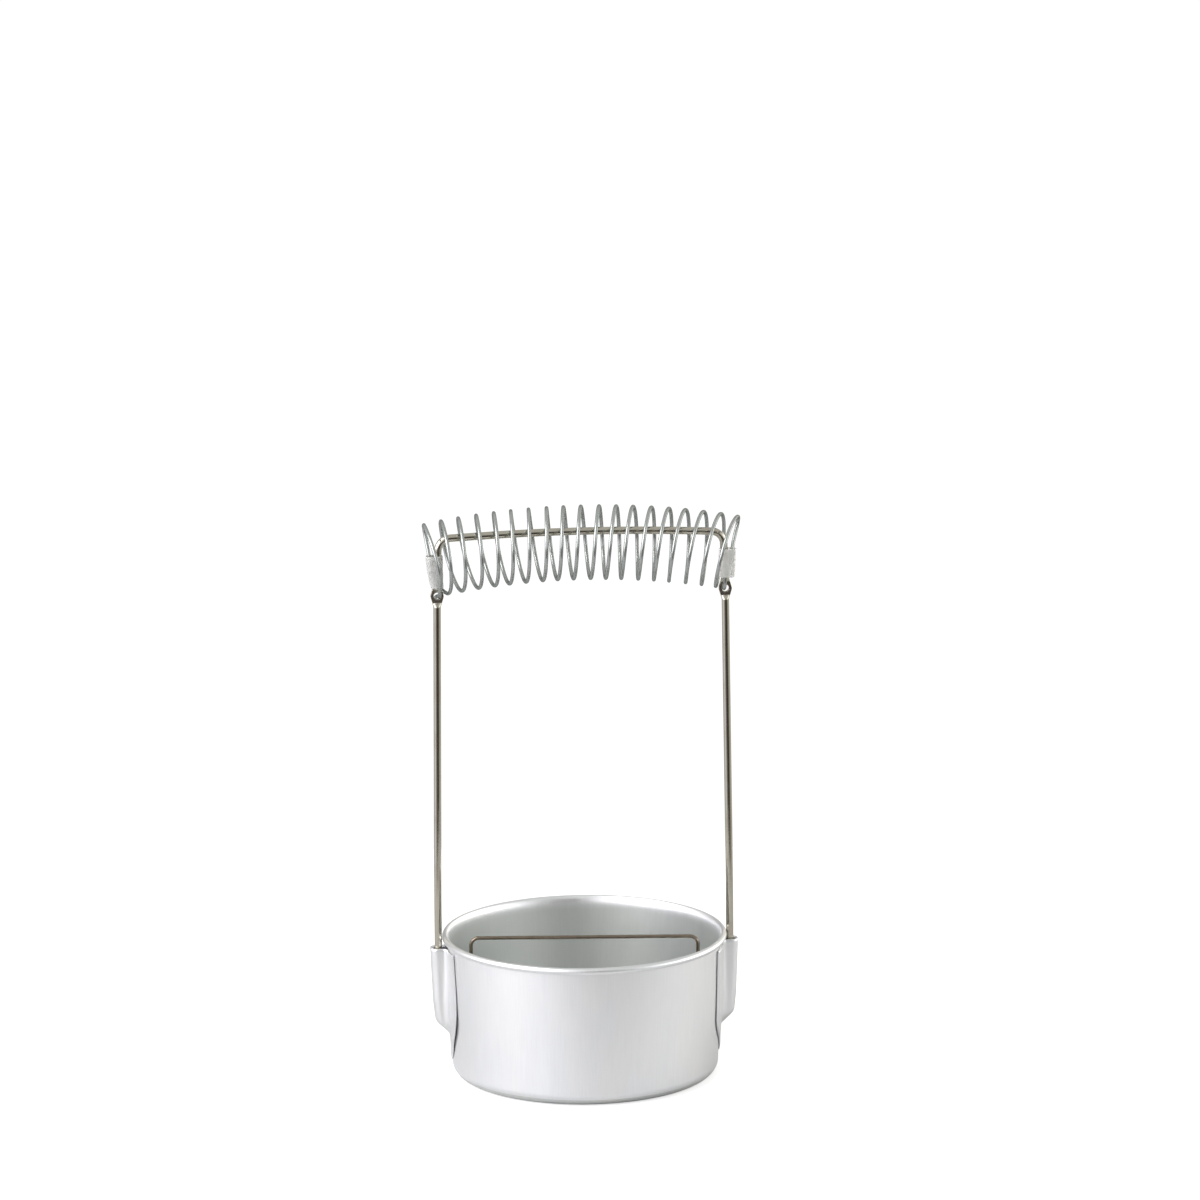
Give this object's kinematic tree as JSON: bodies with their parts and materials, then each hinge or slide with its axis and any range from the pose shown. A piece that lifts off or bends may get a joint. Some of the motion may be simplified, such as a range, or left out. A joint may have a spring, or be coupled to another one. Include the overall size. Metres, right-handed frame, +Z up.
{
  "type": "brush washer",
  "caption": "Round aluminium brush-washing pot with side sockets, a lift-out wire frame carrying a brush-holding coil, and a lift-out strainer.",
  "frame": {"origin": "centre of the pot's flat base, on the surface it stands on", "axes": "+Z up; the two sockets and the frame's legs lie on the X axis, and the coil runs along X"},
  "size_m": [0.1257, 0.114, 0.2315],
  "materials": {
    "pot_aluminium": "drawn and washed to a soft satin, faint upright drawing lines, bright rolled rim",
    "socket_aluminium": "stamped sheet, smooth satin",
    "frame_wire": "nickel-plated steel wire, warm grey and glossy",
    "coil_wire": "zinc-plated spring wire, satin grey with a faint green cast",
    "sleeve_plastic": "milky translucent soft plastic tube",
    "strainer_aluminium": "satin punched sheet",
    "handle_wire": "nickel-plated steel wire, dark warm grey"
  },
  "bodies": {
    "pot": {"pot": "pot_aluminium", "left_socket": "socket_aluminium", "right_socket": "socket_aluminium"},
    "brush_holder": {"wire_frame": "frame_wire", "coil_spring": "coil_wire", "left_sleeve": "sleeve_plastic", "right_sleeve": "sleeve_plastic"},
    "strainer": {"strainer_plate": "strainer_aluminium", "strainer_handle": "handle_wire"}
  },
  "joints": [
    {"name": "holder_lift", "type": "slide", "parent": "pot", "child": "brush_holder", "axis": [0, 0, 1], "range_m": [0, 0.035]},
    {"name": "strainer_lift", "type": "slide", "parent": "pot", "child": "strainer", "axis": [0, 0, 1], "range_m": [0, 0.062]}
  ]
}
